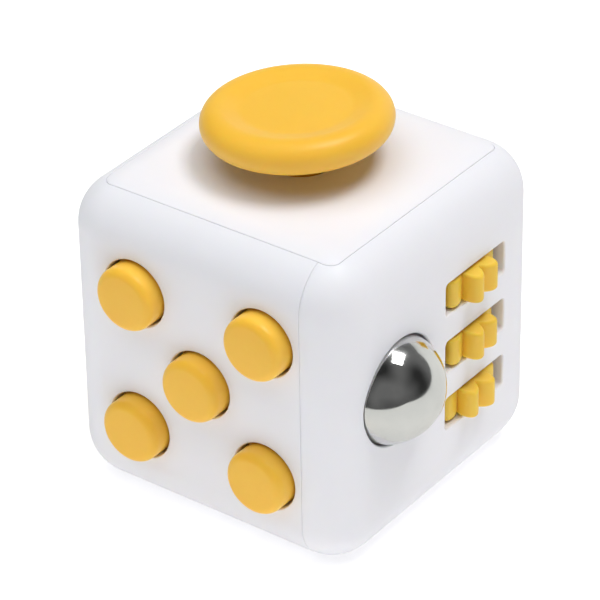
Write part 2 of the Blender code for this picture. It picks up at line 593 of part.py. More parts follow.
def make_joystick(panel):
    """The dished cap and its stem on a gimbal, in a socket screwed under the top panel.

    The gimbal has some free play, and the cap rests with a slight lean to the left in it.
    """
    boolean(panel, rod("joystick_hole", JOYSTICK_HOLE, 0.0, CUBE, (0, 0, 0), UP, sides=HOLE_SIDES))
    boolean(panel, rod("socket_pocket", SOCKET_POCKET_RADIUS, 0.0, CAVITY, (0, 0, 0), UP,
                       sides=HOLE_SIDES))
    top = CAP_MIDDLE + CAP_HALF
    under = CAP_MIDDLE - CAP_HALF
    rim_centre = CAP_RADIUS - CAP_HALF
    rim = arc(CAP_HALF, math.radians(80), math.radians(-80), 8, (rim_centre, CAP_MIDDLE))
    bore = STEM_RADIUS + GAP
    profile = [
        (0.0, top - CAP_DISH_DEPTH), (CAP_DISH_RADIUS, top - CAP_DISH_DEPTH),
        (CAP_CREST_RADIUS, top),
    ] + rim + [
        (CAP_FLAT_BELOW, under), (bore, under), (bore, under + CAP_BORE_DEPTH),
        (0.0, under + CAP_BORE_DEPTH),
    ]
    pivot = (0.0, 0.0, PIVOT_Z)
    lean = (0.0, -JOYSTICK_LEAN, 0.0)
    turned("joystick_cap", [(r, z - PIVOT_Z) for r, z in profile], pivot, lean, orange,
           steps=HOLE_SIDES)
    profile = [
        (0.0, under + CAP_BORE_DEPTH - GAP), (STEM_RADIUS, under + CAP_BORE_DEPTH - GAP),
        (STEM_RADIUS, STEM_BASE_Z), (SPIGOT_RADIUS, STEM_BASE_Z),
        (SPIGOT_RADIUS, SPIGOT_BASE_Z), (0.0, SPIGOT_BASE_Z),
    ]
    stem = turned("joystick_stem", [(r, z - PIVOT_Z) for r, z in profile], pivot, lean, orange,
                  steps=SMALL_SIDES + 2)
    pin_hole = rod("cross_pin_hole", TRUNNION_HOLE, -TRUNNION_END, TRUNNION_END, pivot, ALONG_Y)
    boolean(stem, pin_hole)
    rod("joystick_pin", TRUNNION_RADIUS, -CROSS_PIN_END, CROSS_PIN_END, pivot, ALONG_Y, steel)

    hole, rim = GIMBAL_RADIUS
    profile = [(hole, GIMBAL_HALF), (rim, GIMBAL_HALF), (rim, -GIMBAL_HALF), (hole, -GIMBAL_HALF)]
    ring = turned("gimbal_ring", profile, pivot, UP, inner, closed=True)
    root = hole + TRUNNION_ROOT
    for label, (start, end) in (("right", (root, TRUNNION_END)), ("left", (-TRUNNION_END, -root))):
        trunnion = rod("trunnion_" + label, TRUNNION_RADIUS, start, end, pivot, ALONG_X)
        boolean(ring, trunnion, "UNION")
    boolean(ring, pin_hole)

    profile = [
        (0.0, SOCKET_FLOOR_Z[1]), (SOCKET_TUBE[0], SOCKET_FLOOR_Z[1]),
        (SOCKET_TUBE[0], SOCKET_STEP_Z[1]), (SOCKET_RADIUS[0], SOCKET_STEP_Z[1]),
        (SOCKET_RADIUS[0], SOCKET_TOP_Z), (SOCKET_RADIUS[1], SOCKET_TOP_Z),
        (SOCKET_RADIUS[1], SOCKET_STEP_Z[0]), (SOCKET_TUBE[1], SOCKET_STEP_Z[0]),
        (SOCKET_TUBE[1], SOCKET_FLOOR_Z[0]), (0.0, SOCKET_FLOOR_Z[0]),
    ]
    socket = turned("joystick_socket", profile, (0, 0, 0), UP, inner)
    lug_z = (HALF - FOOT_DEPTH[1], HALF - FOOT_DEPTH[0])
    middle = (SOCKET_RADIUS[0] + SOCKET_RADIUS[1]) / 2
    for number, label in enumerate(("rear", "front")):
        angle = SOCKET_LUG_ANGLE + number * math.pi
        lug = box("socket_lug_" + label, (middle, -SOCKET_LUG_HALF, lug_z[0]),
                  (SOCKET_LUG_REACH, SOCKET_LUG_HALF, lug_z[1]))
        lug.rotation_euler = (0.0, 0.0, angle)
        boolean(socket, lug, "UNION")
        spot = (SOCKET_SCREW * math.cos(angle), SOCKET_SCREW * math.sin(angle), HALF)
        fasten(panel, socket, "socket_screw_" + label, spot, UP, FOOT_DEPTH, boss=False)
    boolean(socket, rod("trunnion_bore", TRUNNION_HOLE, -HALF, HALF, pivot, ALONG_X))
    coil_spring("return_spring", RETURN_SPRING_RADIUS, RETURN_SPRING_Z[0], RETURN_SPRING_Z[1],
                3, (0, 0, 0), UP)


def make_rocker(shell):
    """The rocker switch, its pin, the cradle that holds it and the leaf that makes it click."""
    hub = arc(ROCKER_HUB, math.radians(-20), math.radians(-60), 3)
    right = [(ROCKER_HALF_Z, ROCKER_END), (ROCKER_HALF_Z, ROCKER_UNDERSIDE)] + hub
    right.append((ROCKER_NOSE * 0.2, -ROCKER_NOSE))
    outline = [(0.0, ROCKER_MIDDLE)] + right + [(-x, y) for x, y in reversed(right)]
    pivot = (0.0, ROCKER_PIVOT_Y, 0.0)
    stand_up = Matrix(((0, 0, 1), (0, 1, 0), (-1, 0, 0))).to_euler()
    rocker = extruded("rocker", [outline, circle(ROCKER_PIN_HOLE, SMALL_SIDES)], ROCKER_HALF_X,
                      pivot, stand_up, orange)
    tilt = Matrix.Rotation(-ROCKER_TILT, 3, "X") @ stand_up.to_matrix()
    rocker.rotation_euler = tilt.to_euler()
    rod("rocker_pin", ROCKER_PIN_RADIUS, -ROCKER_PIN_END, ROCKER_PIN_END, pivot, ALONG_X, steel)
    half_x, half_z = ROCKER_OPENING
    window = box("rocker_opening", (-half_x, -half_z, -2 * WALL), (half_x, half_z, WALL),
                 corner=ROCKER_OPENING_CORNER)
    window.location = (0.0, HALF, 0.0)
    window.rotation_euler = REAR
    boolean(shell, window)

    floor, top = CRADLE_FLOOR_Y
    cradle = box("rocker_cradle", (-CRADLE_SPINE_X, floor, -CRADLE_POST_Z[1]),
                 (CRADLE_SPINE_X, top, CRADLE_POST_Z[1]), inner)
    tray = box("cradle_tray", (-CRADLE_EAR_X[1], floor, -CRADLE_HALF_Z),
               (CRADLE_EAR_X[1], top, CRADLE_HALF_Z))
    boolean(cradle, tray, "UNION")
    for side, label in ((1, "left"), (-1, "right")):
        spans = sorted((-side * CRADLE_EAR_X[0], -side * CRADLE_EAR_X[1]))
        ear = box("cradle_ear_" + label, (spans[0], floor, -CRADLE_HALF_Z),
                  (spans[1], CRADLE_EAR_TOP_Y, CRADLE_HALF_Z))
        boolean(cradle, ear, "UNION")
    for side, label in ((1, "upper"), (-1, "lower")):
        levels = sorted((side * CRADLE_POST_Z[0], side * CRADLE_POST_Z[1]))
        post = box("cradle_post_" + label, (-CRADLE_SPINE_X, floor, levels[0]),
                   (CRADLE_SPINE_X, HALF - FOOT_DEPTH[0], levels[1]))
        boolean(cradle, post, "UNION")
        fasten(shell, cradle, "rocker_screw_" + label, (0.0, HALF, side * CRADLE_SCREW), REAR,
               (FOOT_DEPTH[0], HALF - floor))
    boolean(cradle, rod("rocker_pin_bore", ROCKER_PIN_HOLE, -HALF, HALF, pivot, ALONG_X))

    count = 8
    rise = [CLICK_SPRING_RISE * math.cos(math.pi * (i / count - 0.5)) ** 2 for i in range(count + 1)]
    along = [CLICK_SPRING_HALF_Z * (2 * i / count - 1) for i in range(count + 1)]
    lower = [(z, h) for z, h in zip(along, rise)]
    upper = [(z, h + CLICK_SPRING_THICK) for z, h in zip(along, rise)]
    extruded("click_spring", [lower + upper[::-1]], CLICK_SPRING_HALF_X,
             (0.0, top + GAP, 0.0), stand_up, steel)


def make_dial(shell):
    """The spin dial with its thumb knob, carrier plate, washer and centre screw."""
    place = (-HALF, 0.0, 0.0)
    flange_top = -(WALL + GAP)
    flange_foot = flange_top - FLANGE_THICK
    bore = SCREW_RADIUS + GAP
    profile = [
        (0.0, DIAL_PROUD), (DIAL_RADIUS - DIAL_CHAMFER, DIAL_PROUD),
        (DIAL_RADIUS, DIAL_PROUD - DIAL_CHAMFER), (DIAL_RADIUS, flange_top),
        (DIAL_FLANGE, flange_top), (DIAL_FLANGE, flange_foot), (DIAL_HUB, flange_foot),
        (DIAL_HUB, -DIAL_HUB_END), (bore, -DIAL_HUB_END), (bore, -DIAL_BORE_END),
        (0.0, -DIAL_BORE_END),
    ]
    dial = turned("dial", profile, place, LEFT, orange, steps=HOLE_SIDES)
    knob = rod("dial_knob", KNOB_RADIUS, 0.0, KNOB_HEIGHT, (-HALF, 0.0, KNOB_ORBIT), LEFT,
               sides=SMALL_SIDES + 2, rounding=KNOB_ROUND)
    boolean(dial, knob, "UNION")
    boolean(shell, rod("dial_hole", DIAL_HOLE, -2 * WALL, WALL, place, LEFT, sides=HOLE_SIDES))

    near, far = CARRIER_DEPTH
    carrier = box("dial_carrier", (-CARRIER_HALF, -CARRIER_HALF, -far),
                  (CARRIER_HALF, CARRIER_HALF, -near), inner, corner=CARRIER_CORNER)
    carrier.location = place
    carrier.rotation_euler = LEFT
    boolean(carrier, rod("dial_screw_hole", bore, -2 * far, 0.0, place, LEFT))
    for row, up_down in ((1, "upper"), (-1, "lower")):
        for side, front_rear in ((1, "rear"), (-1, "front")):
            name = "carrier_screw_" + up_down + "_" + front_rear
            spot = (-HALF, side * CARRIER_SCREW, row * CARRIER_SCREW)
            fasten(shell, carrier, name, spot, LEFT, CARRIER_DEPTH)
    washer_top = -far - GAP
    washer_foot = washer_top - WASHER_THICK
    profile = [(bore, washer_top), (WASHER_RADIUS, washer_top), (WASHER_RADIUS, washer_foot),
               (bore, washer_foot)]
    turned("dial_washer", profile, place, LEFT, steel, closed=True, steps=SMALL_SIDES + 2)
    head = washer_foot - GAP
    profile = [
        (0.0, -DIAL_BORE_END - GAP), (SCREW_RADIUS, -DIAL_BORE_END - GAP), (SCREW_RADIUS, head),
        (SCREW_HEAD_RADIUS, head), (SCREW_HEAD_RADIUS, head - SCREW_HEAD), (0.0, head - SCREW_HEAD),
    ]
    turned("dial_screw", profile, place, LEFT, steel, steps=SMALL_SIDES)


def make_dimple(panel):
    """The worry-stone dimple: a shallow round hollow in the bottom panel."""
    radius = (DIMPLE_RADIUS ** 2 + DIMPLE_DEPTH ** 2) / (2 * DIMPLE_DEPTH)
    centre_z = DIMPLE_DEPTH - radius
    spread = math.asin(DIMPLE_RADIUS / radius)
    count = 5
    angles = [spread * i / count for i in range(count + 1)]
    bowl = [(radius * math.sin(a), centre_z + radius * math.cos(a)) for a in angles]
    profile = bowl + [(DIMPLE_RADIUS, -WALL), (0.0, -WALL)]
    boolean(panel, turned("dimple", profile, (0.0, 0.0, -HALF), UP, steps=2 * HOLE_SIDES))


front_shell = make_shell("front_shell", 0.0)
rear_shell = make_shell("rear_shell", math.pi)
top_panel = make_panel("top_panel", True)
bottom_panel = make_panel("bottom_panel", False)
make_buttons(front_shell)
make_ball(rear_shell)
make_gears(rear_shell)
make_joystick(top_panel)
make_rocker(rear_shell)
make_dial(front_shell)
make_dimple(bottom_panel)
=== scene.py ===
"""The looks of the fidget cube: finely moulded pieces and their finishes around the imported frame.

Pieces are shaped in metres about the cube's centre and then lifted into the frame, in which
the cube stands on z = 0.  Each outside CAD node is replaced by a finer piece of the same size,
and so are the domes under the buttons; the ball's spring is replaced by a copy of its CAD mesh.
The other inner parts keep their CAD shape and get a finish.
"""
import json
import math

import bmesh
import bpy
from mathutils import Euler, Matrix, Vector

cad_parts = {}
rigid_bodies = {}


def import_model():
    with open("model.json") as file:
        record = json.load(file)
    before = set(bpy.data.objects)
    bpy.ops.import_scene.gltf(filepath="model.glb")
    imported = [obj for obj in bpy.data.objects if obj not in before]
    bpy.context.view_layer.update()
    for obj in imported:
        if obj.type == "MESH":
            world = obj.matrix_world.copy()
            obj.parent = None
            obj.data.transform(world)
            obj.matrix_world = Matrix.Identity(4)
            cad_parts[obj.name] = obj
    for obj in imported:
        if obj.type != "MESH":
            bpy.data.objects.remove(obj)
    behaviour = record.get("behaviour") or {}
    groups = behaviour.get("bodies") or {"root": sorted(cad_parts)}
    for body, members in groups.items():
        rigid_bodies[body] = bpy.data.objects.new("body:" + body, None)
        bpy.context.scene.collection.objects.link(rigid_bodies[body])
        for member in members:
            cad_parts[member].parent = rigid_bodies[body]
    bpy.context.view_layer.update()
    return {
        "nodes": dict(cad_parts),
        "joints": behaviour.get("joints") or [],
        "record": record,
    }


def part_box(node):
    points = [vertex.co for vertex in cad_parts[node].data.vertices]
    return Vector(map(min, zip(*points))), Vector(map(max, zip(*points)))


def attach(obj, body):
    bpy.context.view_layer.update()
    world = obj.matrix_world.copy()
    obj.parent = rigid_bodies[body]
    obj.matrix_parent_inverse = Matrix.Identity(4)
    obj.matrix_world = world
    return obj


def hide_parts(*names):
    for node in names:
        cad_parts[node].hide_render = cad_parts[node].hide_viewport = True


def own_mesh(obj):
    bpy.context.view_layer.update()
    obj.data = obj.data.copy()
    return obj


for old in list(bpy.data.objects):
    bpy.data.objects.remove(old)
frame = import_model()

MM = 0.001

# The housing
CUBE = 33.0 * MM
HALF = CUBE / 2
EDGE_RADIUS = 5.0 * MM
EDGE_STEPS = 14
WALL = 1.8 * MM
CAVITY = HALF - WALL
GAP = 0.15 * MM
PANEL_HALF = 13.4 * MM
PANEL_CORNER = 1.3 * MM
PANEL_SEAM = 0.02 * MM
PANEL_DEPTH = 3.0 * MM
FLANGE_HALF = 14.0 * MM
FLANGE_CORNER = 2.6 * MM
SEAM_X = 11.7 * MM
SEAM_GAP = 0.012 * MM
DIMPLE_RADIUS = 9.6 * MM
DIMPLE_DEPTH = 1.4 * MM
OVERSIZE = 4.0 * MM
LIP = 0.25 * MM
LIP_RISE = 0.02 * MM
SOFT_EDGE = 0.06 * MM
DIMPLE_RIM = 0.35 * MM
DIMPLE_RIM_RISE = 0.03 * MM
DIMPLE_RIM_FALL = 0.04 * MM
DIMPLE_STEPS = 24

# The buttons
BUTTON_RADIUS = 3.25 * MM
BUTTON_HOLE = 3.5 * MM
BUTTON_HEIGHT = 2.0 * MM
BUTTON_ROUND = 0.85 * MM
BUTTON_CROWN = 0.06 * MM
BUTTON_FLANGE = 4.1 * MM
BUTTON_FLANGE_DEPTH = (1.95 * MM, 2.7 * MM)
CROWN_STEPS = 6
SHOULDER_STEPS = 12
SHOULDER_START = 86
BUTTONS = ("centre", "upper_left", "upper_right", "lower_left", "lower_right")

# The silicone domes under the buttons
DOME_TOP = 1.5 * MM
DOME_FOOT = 3.0 * MM
DOME_SKIN = 0.45 * MM
DOME_SHOULDER = 0.25 * MM
DOME_HEEL = 0.3 * MM
DOME_BRIM = 0.12 * MM
DOME_SOLE = 0.08 * MM

# The ball
BALL_RADIUS = 5.5 * MM
BALL_SOCKET = BALL_RADIUS + GAP
BALL_CUTS = 31
SOCKET_STEPS = 6

# The gears and their slots
GEAR_TIP = 4.45 * MM
GEAR_ROOT = 3.0 * MM
GEAR_TEETH = 9
GEAR_THICK = 3.0 * MM
GEAR_ROUND = 0.35 * MM
GEAR_ROUND_STEP = 15
STEPS_PER_TOOTH = 20
GEAR_PHASES = {"upper": math.radians(24), "middle": math.radians(26), "lower": math.radians(17)}
GEAR_BORE = 0.75 * MM
SLOT_Y = (0.1 * MM, 9.9 * MM)
SLOT_HEIGHT = 3.5 * MM
SLOT_CORNER = 0.4 * MM

# The joystick
JOYSTICK_HOLE = 3.2 * MM
JOYSTICK_PIVOT = 13.0 * MM
JOYSTICK_LEAN = math.radians(3)
SOCKET_POCKET_RADIUS = 7.0 * MM
CAP_RADIUS = 9.2 * MM
CAP_MIDDLE = 20.75 * MM
CAP_HALF = 1.7 * MM
CAP_DISH_RADIUS = 5.4 * MM
CAP_CREST_RADIUS = 7.1 * MM
CAP_DISH_DEPTH = 0.45 * MM
CAP_FLAT_BELOW = 6.6 * MM
CAP_BORE_DEPTH = 1.4 * MM
CAP_BORE_ROUND = 0.25 * MM
CAP_DISH_ROUND = 2.5 * MM
CAP_CREST_ROUND = 2.2 * MM
CAP_CREST_DROP = 0.01 * MM
CAP_RIM_STEPS = 28
STEM_RADIUS = 1.85 * MM
STEM_BASE = 11.4 * MM
SPIGOT_RADIUS = 1.0 * MM
SPIGOT_TIP = 0.72 * MM
SPIGOT_BASE = 10.4 * MM
STEM_PIN_HOLE = 0.7 * MM

# The rocker switch
ROCKER_HALF_X = 4.2 * MM
ROCKER_HALF_Z = 7.6 * MM
ROCKER_PIVOT_Y = 13.6 * MM
ROCKER_END = 3.8 * MM
ROCKER_MIDDLE = 3.0 * MM
ROCKER_UNDERSIDE = 0.8 * MM
ROCKER_HUB = 1.8 * MM
ROCKER_TILT = math.radians(9)
ROCKER_OPENING = (4.45 * MM, 8.35 * MM)
ROCKER_OPENING_CORNER = 0.8 * MM
ROCKER_ROUND = 0.45 * MM
ROCKER_PIN_HOLE = 0.95 * MM
ROCKER_HOLLOW = 1.4
ROCKER_SIDE_STEPS = 12
ROCKER_EDGE_STEPS = 5
ROCKER_HUB_STEPS = 8
ROCKER_CHAMFER = 0.3 * MM
ROCKER_FLANK = 0.30 * MM
ROCKER_FLANK_STEP = 18
ROCKER_FLANK_FALL = 4 * MM

# The spin dial
DIAL_RADIUS = 9.1 * MM
DIAL_HOLE = 9.35 * MM
DIAL_PROUD = 0.5 * MM
DIAL_FLANGE = 10.1 * MM
DIAL_FLANGE_DEPTH = (1.95 * MM, 2.7 * MM)
DIAL_HUB = 2.4 * MM
DIAL_HUB_END = 3.9 * MM
DIAL_BORE = 0.85 * MM
DIAL_BORE_END = 1.2 * MM
DIAL_ROUND = 0.4 * MM
GROOVE_DEPTH = 0.12 * MM
GROOVE_INNER = (1.5 * MM, 1.35 * MM)
GROOVE_OUTER = (1.15 * MM, 1.0 * MM)
KNOB_RADIUS = 2.1 * MM
KNOB_ORBIT = 5.6 * MM
KNOB_HEIGHT = 4.1 * MM
KNOB_ROUND = 0.45 * MM
KNOB_CUP = 0.15 * MM
KNOB_CUP_SHARES = (0.55, 0.75)
KNOB_CUP_ROUNDS = (0.5 * MM, 0.25 * MM)
KNOB_STEPS = 64

# Edge fillets shared by several parts
FINE = 0.1 * MM
SMALL = 0.15 * MM
SOFT = 0.2 * MM

# Fineness
TURN_STEPS = 96
SMALL_TURN_STEPS = 48
POST_STEPS = 32
HOLE_STEPS = 96
FILLET_STEPS = 5
MERGE = 0.001 * MM
SHARP_ANGLE = math.radians(40)
SOFTEN_ANGLE = math.radians(50)
SOFTEN_SEGMENTS = 2

# Turns that point a shape's +Z out of a face
FRONT = (math.pi / 2, 0.0, 0.0)
REAR = (-math.pi / 2, 0.0, 0.0)
RIGHT = (0.0, math.pi / 2, 0.0)
LEFT = (0.0, -math.pi / 2, 0.0)
UP = (0.0, 0.0, 0.0)

CENTRE = Vector((0.0, 0.0, HALF))


def middle(node):
    """The middle of a CAD node's box, measured from the cube's centre."""
    low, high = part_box(node)
    return (low + high) / 2 - CENTRE


def facing(turn, spot=(0.0, 0.0, 0.0)):
    """The matrix that puts a shape at a spot with its +Z out of a face."""
    return Matrix.Translation(spot) @ Euler(turn).to_matrix().to_4x4()


# ---------------------------------------------------------------- shapes

def arc(radius, start, end, count, at=(0.0, 0.0)):
    """Points along an arc, its angles in degrees."""
    angles = [math.radians(start + (end - start) * i / count) for i in range(count + 1)]
    return [(at[0] + radius * math.cos(a), at[1] + radius * math.sin(a)) for a in angles]


def filleted(corners, closed=False):
    """A path through (x, y, fillet radius) corners, each corner rounded by its own fillet."""
    points = []
    count = len(corners)
    for i, (x, y, radius) in enumerate(corners):
        here = Vector((x, y))
        ends = not closed and i in (0, count - 1)
        if ends or radius <= 0:
            points.append((x, y))
            continue
        before = (Vector(corners[i - 1][:2]) - here).normalized()
        after = (Vector(corners[(i + 1) % count][:2]) - here).normalized()
        half = before.angle(after) / 2
        reach = radius / math.tan(half)
        hub = here + (before + after).normalized() * (radius / math.sin(half))
        first = here + before * reach - hub
        last = here + after * reach - hub
        swing = first.angle_signed(last)
        for step in range(FILLET_STEPS + 1):
            angle = -swing * step / FILLET_STEPS
            arm = Matrix.Rotation(angle, 2) @ first
            points.append(tuple(hub + arm))
    return points


def spun(profile, steps):
    """A surface: (radius, height) points swept about the Z axis."""
    shape = bmesh.new()
    verts = [shape.verts.new((radius, 0.0, height)) for radius, height in profile]
    edges = [shape.edges.new(pair) for pair in zip(verts, verts[1:])]
    bmesh.ops.spin(shape, geom=verts + edges, cent=(0, 0, 0), axis=(0, 0, 1),
                   angle=2 * math.pi, steps=steps, use_merge=True, use_duplicate=False)
    return shape


def turned(profile, steps=TURN_STEPS, matrix=None):
    """A closed solid: a profile that starts and ends on the Z axis, swept about it."""
    return closed_shape(spun(profile, steps), matrix)


def stacked(levels, outline, matrix=None):
    """A closed solid: outline(growth) drawn at each (growth, height) level and joined up."""
    shape = bmesh.new()
    rings = []
    for growth, height in levels:
        rings.append([shape.verts.new((x, y, height)) for x, y in outline(growth)])
    for low, high in zip(rings, rings[1:]):
        for i in range(len(low)):
            shape.faces.new((low[i - 1], low[i], high[i], high[i - 1]))
    shape.faces.new(rings[0])
    shape.faces.new(rings[-1])
    return closed_shape(shape, matrix)


def closed_shape(shape, matrix):
    """Weld a shape, point its faces outwards and put it in place."""
    bmesh.ops.remove_doubles(shape, verts=shape.verts[:], dist=MERGE)
    bmesh.ops.recalc_face_normals(shape, faces=shape.faces[:])
    if matrix is not None:
        shape.transform(matrix)
    return shape


def plate_outline(half_x, half_y, corner):
    """An outline function for stacked(): a rectangle with round corners that grows evenly."""
    def outline(growth):
        x, y, radius = half_x + growth, half_y + growth, corner + growth
        return filleted([(x, -y, radius), (x, y, radius), (-x, y, radius), (-x, -y, radius)],
                        closed=True)
    return outline


def rounded_cube():
    """The cube's outer form, with every edge and corner finely rounded."""
    shape = bmesh.new()
    bmesh.ops.create_cube(shape, size=CUBE)
    bmesh.ops.bevel(shape, geom=shape.edges[:], offset=EDGE_RADIUS, segments=EDGE_STEPS,
                    profile=0.5, affect="EDGES")
    return shape


def add_piece(name, shape):
    """Put a shape in the scene as an object."""
    mesh = bpy.data.meshes.new(name)
    shape.to_mesh(mesh)
    shape.free()
    made = bpy.data.objects.new(name, mesh)
    bpy.context.scene.collection.objects.link(made)
    return made


def settle(piece):
    """Turn a piece and its modifiers into one plain mesh."""
    bpy.context.view_layer.update()
    graph = bpy.context.evaluated_depsgraph_get()
    mesh = bpy.data.meshes.new_from_object(piece.evaluated_get(graph))
    piece.modifiers.clear()
    piece.data = mesh


def combine(piece, shape, operation="DIFFERENCE"):
    """Cut a shape from a piece, or join the two, or keep only where they meet."""
    tool = add_piece("tool", shape)
    step = piece.modifiers.new("combine", "BOOLEAN")
    step.operation = operation
    step.solver = "EXACT"
    step.object = tool
    settle(piece)
    bpy.data.objects.remove(tool)


def soften(piece, width):
    """Round a piece's hard edges by a small bevel."""
    step = piece.modifiers.new("soften", "BEVEL")
    step.width = width
    step.segments = SOFTEN_SEGMENTS
    step.limit_method = "ANGLE"
    step.angle_limit = SOFTEN_ANGLE
    step.use_clamp_overlap = False
    step.miter_outer = "MITER_ARC"
    settle(piece)


def finish_piece(piece, body, slot, material, *nodes):
    """Lift a piece into the frame, give it its finish, shade it, hang it on its body and hide the
    CAD nodes it stands in for; the slot is not used.
    """
    piece.data.transform(Matrix.Translation(CENTRE))
    piece.data.materials.clear()
    piece.data.materials.append(material)
    piece.data.shade_smooth()
    piece.data.set_sharp_from_angle(angle=SHARP_ANGLE)
    even = piece.modifiers.new("even_shading", "WEIGHTED_NORMAL")
    even.keep_sharp = True
    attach(piece, body)
    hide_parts(*nodes)
    return piece


# ---------------------------------------------------------------- finishes

# How many waves of each noise fit in a metre of surface
FLOW = 140.0
SPECKLE = 2600.0
WEAR_PATCHES = 700.0
RUBBING = 320.0
SINK = 260.0
PLASTIC_GRAIN = 5200.0
INNER_GRAIN = 3800.0
SMUDGES = 230.0
HAIR_SCRATCHES = 900.0
STEEL_PATCHES = 900.0
TURNING_MARKS = 6000.0
SILICONE_CLOUD = 500.0
SILICONE_GRAIN = 3500.0

# How high the finest relief stands, and how wide a worn edge is
GRAIN_HEIGHT = 0.01 * MM
SINK_HEIGHT = 0.03 * MM
PLASTIC_WEAR = 0.35 * MM
STEEL_WEAR = 0.15 * MM


class Nodes:
    """A short way to build a material's node tree."""

    def __init__(self, name):
        self.material = bpy.data.materials.new(name)
        self.material.use_nodes = True
        self.tree = self.material.node_tree
        self.shader = self.tree.nodes["Principled BSDF"]
        self.place = self.add("ShaderNodeTexCoord").outputs["Object"]

    def add(self, kind, **values):
        node = self.tree.nodes.new(kind)
        for key, value in values.items():
            setattr(node, key, value)
        return node

    def link(self, output, socket):
        self.tree.links.new(output, socket)

    def noise(self, scale, detail=3.0, roughness=0.5):
        node = self.add("ShaderNodeTexNoise")
        node.inputs["Scale"].default_value = scale
        node.inputs["Detail"].default_value = detail
        node.inputs["Roughness"].default_value = roughness
        self.link(self.place, node.inputs["Vector"])
        return node.outputs["Fac"]

    def ranged(self, value, low, high, start=0.3, end=0.7):
        node = self.add("ShaderNodeMapRange")
        node.inputs["From Min"].default_value = start
        node.inputs["From Max"].default_value = end
        node.inputs["To Min"].default_value = low
        node.inputs["To Max"].default_value = high
        self.link(value, node.inputs["Value"])
        return node.outputs["Result"]

    def mixed(self, factor, first, second):
        """Mix two colours; each is a colour or another node's output."""
        node = self.add("ShaderNodeMix", data_type="RGBA")
        self.link(factor, node.inputs["Factor"])
        for socket, colour in ((node.inputs[6], first), (node.inputs[7], second)):
            if isinstance(colour, tuple):
                socket.default_value = (*colour, 1.0)
            else:
                self.link(colour, socket)
        return node.outputs[2]

    def edges(self, radius):
        """1 on sharp or tightly rounded edges, 0 on flat or broadly curved faces."""
        bevel = self.add("ShaderNodeBevel", samples=4)
        bevel.inputs["Radius"].default_value = radius
        flat = self.add("ShaderNodeNewGeometry")
        dot = self.add("ShaderNodeVectorMath", operation="DOT_PRODUCT")
        self.link(bevel.outputs["Normal"], dot.inputs[0])
        self.link(flat.outputs["Normal"], dot.inputs[1])
        return self.ranged(dot.outputs["Value"], 1.0, 0.0, 0.75, 0.985)

    def bump(self, height, strength, distance=GRAIN_HEIGHT, before=None):
        node = self.add("ShaderNodeBump")
        node.inputs["Strength"].default_value = strength
        node.inputs["Distance"].default_value = distance
        self.link(height, node.inputs["Height"])
        if before is not None:
            self.link(before, node.inputs["Normal"])
        return node.outputs["Normal"]

    def set(self, **values):
        for key, value in values.items():
            socket = self.shader.inputs[key.replace("_", " ")]
            socket.default_value = value


def moulded_plastic(name, colour, shade, worn, roughness, grain, depth, subsurface):
    """Moulded plastic: faint flow and speckle in the colour, fine mould grain, worn edges."""
    nodes = Nodes(name)
    flow = nodes.ranged(nodes.noise(FLOW, 4.0, 0.55), 0.0, 1.0)
    speckle = nodes.ranged(nodes.noise(SPECKLE, 2.0), 0.0, 0.35, 0.35, 0.75)
    tone = nodes.mixed(flow, colour, shade)
    tone = nodes.mixed(speckle, tone, shade)
    wear = nodes.edges(PLASTIC_WEAR)
    patchy = nodes.add("ShaderNodeMath", operation="MULTIPLY")
    nodes.link(wear, patchy.inputs[0])
    nodes.link(nodes.ranged(nodes.noise(WEAR_PATCHES, 4.0), 0.15, 0.85), patchy.inputs[1])
    tone = nodes.mixed(patchy.outputs[0], tone, worn)
    nodes.link(tone, nodes.shader.inputs["Base Color"])
    rub = nodes.ranged(nodes.noise(RUBBING, 5.0, 0.6), roughness - 0.05, roughness + 0.07)
    polish = nodes.add("ShaderNodeMath", operation="MULTIPLY_ADD")
    nodes.link(patchy.outputs[0], polish.inputs[0])
    polish.inputs[1].default_value = -0.10
    nodes.link(rub, polish.inputs[2])
    nodes.link(polish.outputs[0], nodes.shader.inputs["Roughness"])
    wave = nodes.bump(nodes.noise(SINK, 2.0), 0.10, SINK_HEIGHT)
    nodes.link(nodes.bump(nodes.noise(grain, 3.0, 0.6), depth, before=wave),
               nodes.shader.inputs["Normal"])
    nodes.set(IOR=1.49, Subsurface_Weight=subsurface, Subsurface_Scale=2.0 * MM,
              Subsurface_Radius=(1.0, 0.40, 0.10), Specular_IOR_Level=0.4)
    return nodes.material


def polished_ball(name):
    """Mirror steel with faint smudges, hair scratches and a breath of haze."""
    nodes = Nodes(name)
    smudge = nodes.noise(SMUDGES, 6.0, 0.65)
    tone = nodes.mixed(nodes.ranged(smudge, 0.0, 1.0), (0.80, 0.80, 0.785), (0.70, 0.71, 0.70))
    nodes.link(tone, nodes.shader.inputs["Base Color"])
    nodes.link(nodes.ranged(smudge, 0.04, 0.20, 0.35, 0.70), nodes.shader.inputs["Roughness"])
    stretch = nodes.add("ShaderNodeMapping")
    stretch.inputs["Scale"].default_value = (1.0, 9.0, 1.4)
    stretch.inputs["Rotation"].default_value = (0.4, 0.7, 0.2)
    nodes.link(nodes.place, stretch.inputs["Vector"])
    hair = nodes.add("ShaderNodeTexNoise")
    hair.inputs["Scale"].default_value = HAIR_SCRATCHES
    hair.inputs["Detail"].default_value = 2.0
    nodes.link(stretch.outputs["Vector"], hair.inputs["Vector"])
    nodes.link(nodes.bump(hair.outputs["Fac"], 0.02), nodes.shader.inputs["Normal"])
    nodes.set(Metallic=1.0)
    return nodes.material


